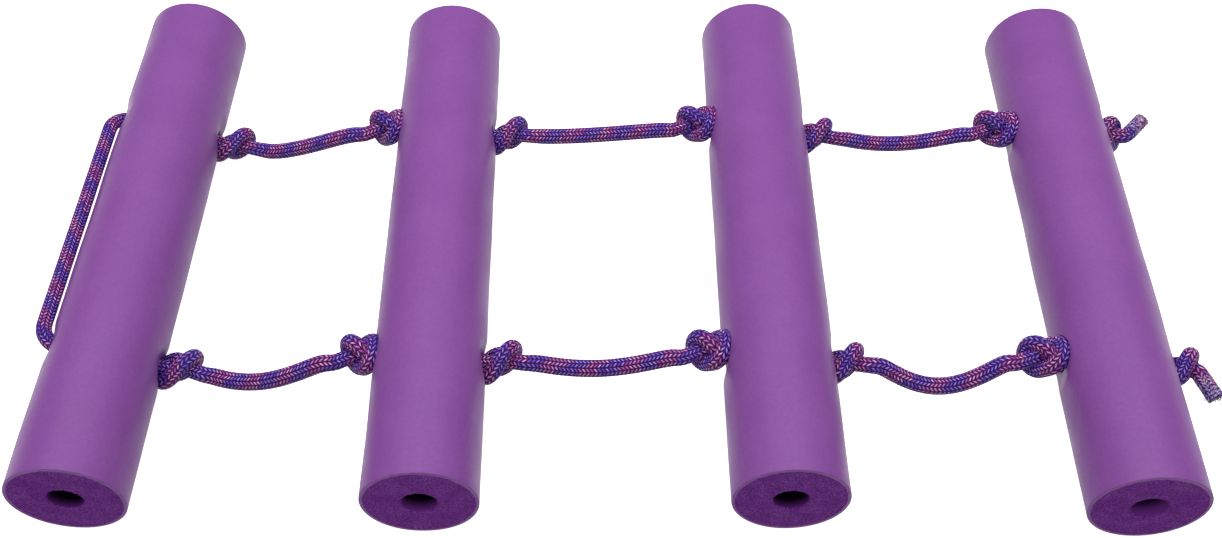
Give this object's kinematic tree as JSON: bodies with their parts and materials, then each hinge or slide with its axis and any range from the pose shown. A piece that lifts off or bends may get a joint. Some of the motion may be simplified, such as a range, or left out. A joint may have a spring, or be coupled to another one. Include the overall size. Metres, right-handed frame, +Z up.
{
  "type": "rope ladder",
  "caption": "Short rope ladder: thick round foam tube rungs threaded on a braided rope that is knotted at every hole, with a hanging loop across the top rung.",
  "frame": {"origin": "middle of the ladder's footprint, on the surface that it lies on", "axes": "+X along the ladder from the hung end to the tail end, +Y along the rungs, +Z up"},
  "size_m": [0.7502, 0.4059, 0.0699],
  "materials": {
    "purple_foam": "satin closed-cell foam skin, cell texture on the cut ends",
    "braided_rope": "matt braid of magenta and violet yarns",
    "clear_sleeve": "clear shrink sleeve"
  },
  "bodies": {
    "rung_1": {"rung_1": "purple_foam", "rope_through_1_left": "braided_rope", "rope_through_1_right": "braided_rope", "knot_1_foot_left": "braided_rope", "knot_1_foot_right": "braided_rope", "hanging_loop": "braided_rope"},
    "bay_12": {"rope_span_12_left": "braided_rope", "rope_span_12_right": "braided_rope"},
    "rung_2": {"rung_2": "purple_foam", "rope_through_2_left": "braided_rope", "rope_through_2_right": "braided_rope", "knot_2_head_left": "braided_rope", "knot_2_head_right": "braided_rope", "knot_2_foot_left": "braided_rope", "knot_2_foot_right": "braided_rope"},
    "bay_23": {"rope_span_23_left": "braided_rope", "rope_span_23_right": "braided_rope"},
    "rung_3": {"rung_3": "purple_foam", "rope_through_3_left": "braided_rope", "rope_through_3_right": "braided_rope", "knot_3_head_left": "braided_rope", "knot_3_head_right": "braided_rope", "knot_3_foot_left": "braided_rope", "knot_3_foot_right": "braided_rope"},
    "bay_34": {"rope_span_34_left": "braided_rope", "rope_span_34_right": "braided_rope"},
    "rung_4": {"rung_4": "purple_foam", "rope_through_4_left": "braided_rope", "rope_through_4_right": "braided_rope", "knot_4_head_left": "braided_rope", "knot_4_head_right": "braided_rope", "end_knot_left": "braided_rope", "end_knot_right": "braided_rope", "tail_left": "braided_rope", "tail_right": "braided_rope", "end_sleeve_left": "clear_sleeve", "end_sleeve_right": "clear_sleeve"}
  },
  "joints": [
    {"name": "fold_1_foot", "type": "hinge", "parent": "rung_1", "child": "bay_12", "pos_m": [-0.27044, 0.002, 0.0146], "axis": [0, -1, 0], "range_deg": [0, 80]},
    {"name": "fold_2_head", "type": "hinge", "parent": "bay_12", "child": "rung_2", "pos_m": [-0.19676, -0.00149, 0.03493], "axis": [0.0227, -0.9997, 0], "range_deg": [0, 80]},
    {"name": "fold_2_foot", "type": "hinge", "parent": "rung_2", "child": "bay_23", "pos_m": [-0.0654, 0.00149, 0.03034], "axis": [-0.0227, 0.9997, 0], "range_deg": [-40, 84]},
    {"name": "fold_3_head", "type": "hinge", "parent": "bay_23", "child": "rung_3", "pos_m": [0.02423, 0.002, 0.03607], "axis": [0, 1, 0], "range_deg": [-40, 84]},
    {"name": "fold_3_foot", "type": "hinge", "parent": "rung_3", "child": "bay_34", "pos_m": [0.15529, 0.002, 0.02691], "axis": [0, -1, 0], "range_deg": [0, 85]},
    {"name": "fold_4_head", "type": "hinge", "parent": "bay_34", "child": "rung_4", "pos_m": [0.23725, -0.00116, 0.03493], "axis": [-0.0279, -0.9996, 0], "range_deg": [0, 85]}
  ],
  "couplings": [
    {"joint": "fold_2_head", "follows": "fold_1_foot", "ratio": 1},
    {"joint": "fold_3_head", "follows": "fold_2_foot", "ratio": 1},
    {"joint": "fold_4_head", "follows": "fold_3_foot", "ratio": 1}
  ]
}
